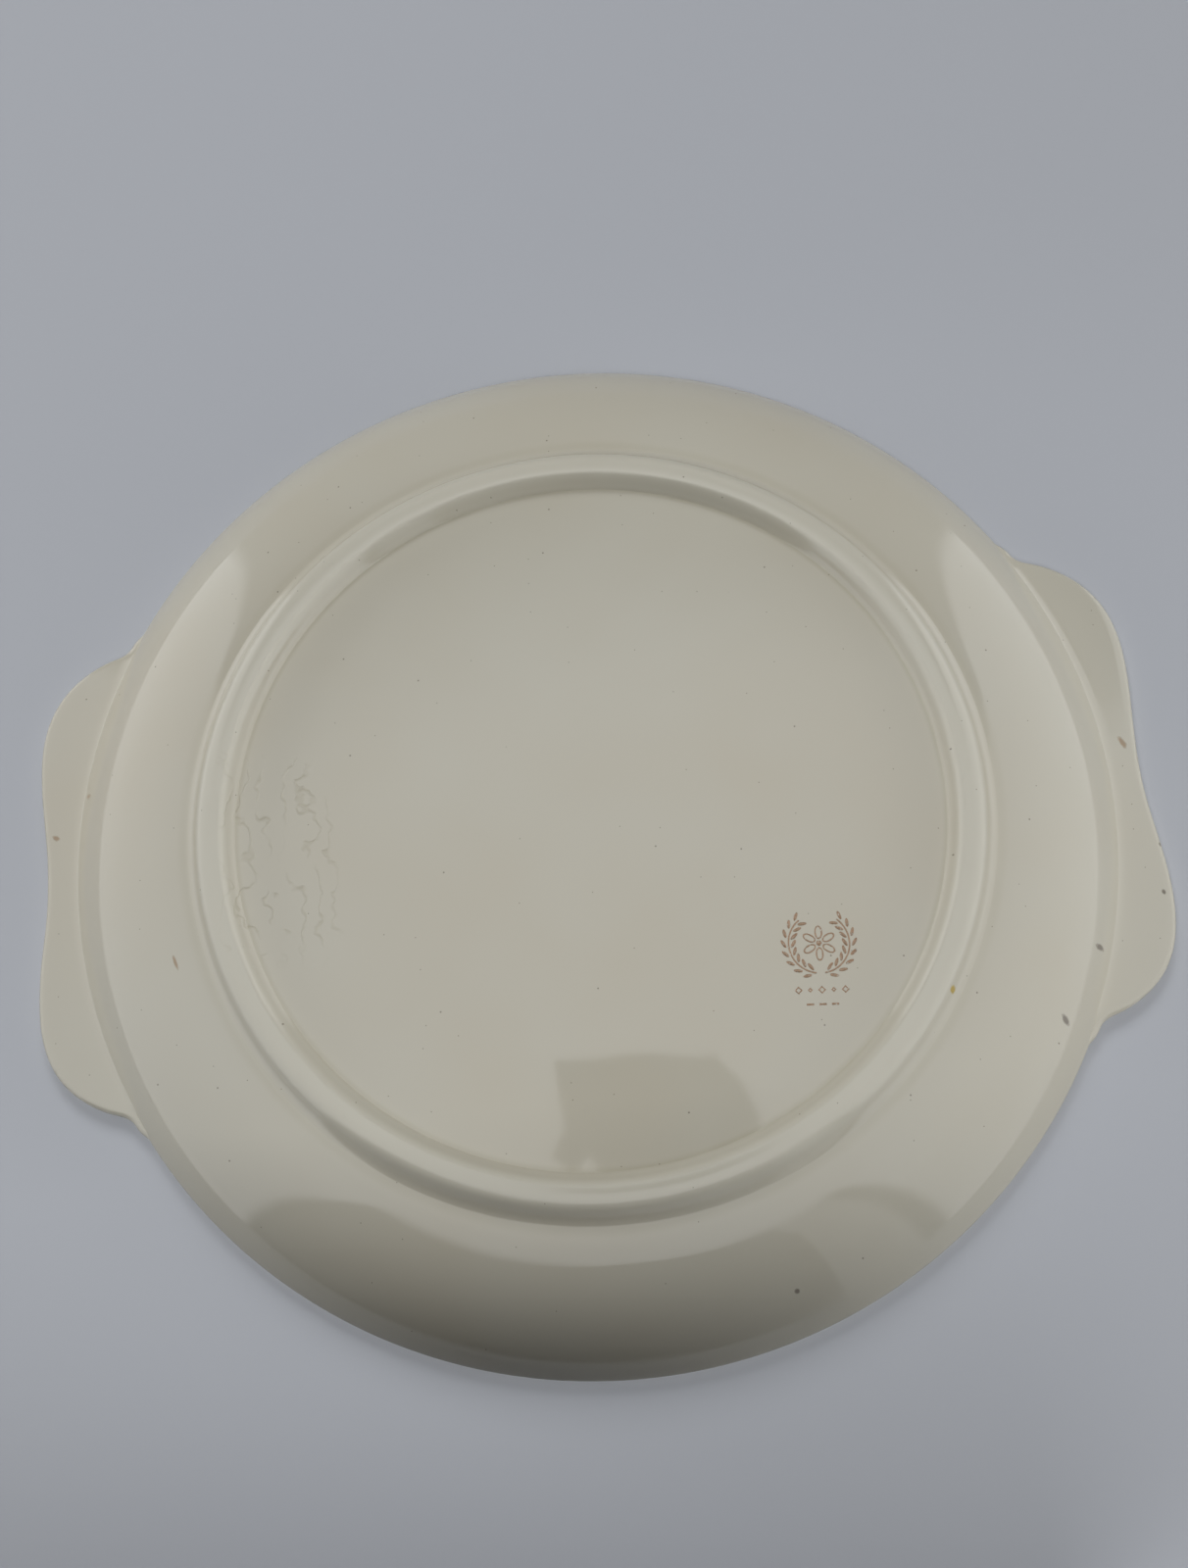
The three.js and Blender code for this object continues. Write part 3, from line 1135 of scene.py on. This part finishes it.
# outlines in millimetres: the reader's upright, the camera's level
READER_PLACE = 205
READER_OUTLINE = [(-250, -1), (92, -1), (92, -150), (70, -205), (-190, -205), (-250, -150)]
CAMERA_CARD_HEIGHT = -400
CAMERA_OUTLINE = [
    (-36, 2), (-35, 34), (-42, 46), (-33, 54), (-24, 46), (-18, 57),
    (22, 60), (44, 54), (58, 38), (52, 20), (38, 4),
]

cloth = black_cloth()
reader_corners = [(x * MM, READER_PLACE * MM, z * MM) for x, z in READER_OUTLINE]
card("reader_card", reader_corners, cloth)
camera_corners = [(x * MM, y * MM, CAMERA_CARD_HEIGHT * MM) for x, y in CAMERA_OUTLINE]
card("camera_card", camera_corners, cloth)

# %% [markdown]
# ## Softboxes
#
# Five softboxes light the underside: one above the reader's head, which the reader's card keeps off
# the near wall, one at the far side, and three low ones at the sides. Three more light the face for
# the other views. Each floor also has a light of its own: the reader's card would leave the pale
# surface too dark, and the pale surface, unseen from above, would shade the table.

# %% Softboxes below and above
COOL_WHITE = (0.985, 0.99, 1.0)


def softbox(name, place, size, power, aim=(0, 0, 0)):
    """A rectangular area light that faces a point."""
    data = bpy.data.lights.new(name, "AREA")
    data.shape = "RECTANGLE"
    data.size, data.size_y = size
    data.energy = power
    data.color = COOL_WHITE
    light = bpy.data.objects.new(name, data)
    light.location = place
    light.rotation_mode = "QUATERNION"
    light.rotation_quaternion = (Vector(aim) - Vector(place)).to_track_quat("-Z", "Y")
    light.visible_camera = False
    light.visible_glossy = False
    bpy.context.scene.collection.objects.link(light)
    return light


over_reader = softbox("over_reader", (0, 0.58, -1.05), (0.7, 0.26), 6.5)
softbox("far_side", (0, -0.85, -0.80), (0.7, 0.5), 6.2)
softbox("right_side", (1.0, 0.15, -0.25), (0.7, 0.4), 2.2)
softbox("right_low", (1.0, 0.30, -0.14), (0.7, 0.22), 2.6)
softbox("left_low", (-1.0, -0.38, -0.15), (0.7, 0.24), 4.5)

face_lights = [
    softbox("top_light", (-0.4, 0.3, 1.4), (1.3, 1.3), 16.0),
    softbox("front_light", (0.6, -1.0, 1.2), (0.9, 0.7), 9.0),
    softbox("back_light", (-0.2, 1.3, 1.0), (1.0, 0.6), 6.0),
]

# %% Lights for the two floors
def listed(name, things, state="INCLUDE"):
    """A light's list of things: these only, or everything but these."""
    chosen = bpy.data.collections.new(name)
    for thing in things:
        chosen.objects.link(thing)
    for entry in chosen.collection_objects:
        entry.light_linking.link_state = state
    return chosen


not_floors = listed("not_the_floors", [surface, table], "EXCLUDE")
for light in (over_reader, *face_lights):
    light.light_linking.receiver_collection = not_floors
surface_light = softbox("surface_light", (-0.05, 0.26, -0.62), (0.3, 0.3), 2.0, (-0.05, 0.1, 0))
surface_light.light_linking.receiver_collection = listed("only_the_surface", [surface])
table_light = softbox("table_light", (-0.6, 0.4, 2.6), (2.6, 2.6), 85.0)
table_light.light_linking.receiver_collection = listed("only_the_table", [table])
table_light.light_linking.blocker_collection = listed("only_the_dish", [dish, foot, *handles.values()])
print("eight softboxes, one light for each floor, and the tent")

# %% [markdown]
# ## The camera
#
# The reader holds the camera about 45 cm above the upturned dish and leans it away from straight
# down. Three angles say it all: how far it leans, which way it leans, and how it is rolled. They
# turn into the camera's three axes.

# %% Camera
CAMERA_LEAN = math.radians(18.2)
CAMERA_HEADING = math.radians(2.9)
CAMERA_ROLL = math.radians(-8.7)
CAMERA_DISTANCE = 0.4547
CAMERA_AIM = Vector((1.85 * MM, -13.4 * MM, edge_line_high.z))
CAMERA_LENS = 38.25


def reading_camera():
    sideways, forth = math.sin(CAMERA_HEADING), math.cos(CAMERA_HEADING)
    lean_in, lean_down = math.sin(CAMERA_LEAN), math.cos(CAMERA_LEAN)
    back = Vector((lean_in * sideways, lean_in * forth, -lean_down))
    level_up = Vector((-lean_down * sideways, -lean_down * forth, -lean_in))
    level_right = level_up.cross(back)
    right = level_right * math.cos(CAMERA_ROLL) + level_up * math.sin(CAMERA_ROLL)
    up = level_up * math.cos(CAMERA_ROLL) - level_right * math.sin(CAMERA_ROLL)
    data = bpy.data.cameras.new("camera")
    data.lens = CAMERA_LENS
    camera = bpy.data.objects.new("camera", data)
    bpy.context.scene.collection.objects.link(camera)
    turn = Matrix((right, up, back)).transposed().to_4x4()
    camera.matrix_world = Matrix.Translation(CAMERA_AIM + back * CAMERA_DISTANCE) @ turn
    bpy.context.scene.camera = camera
    return camera


camera = reading_camera()
print("camera at", [round(value, 4) for value in camera.location])
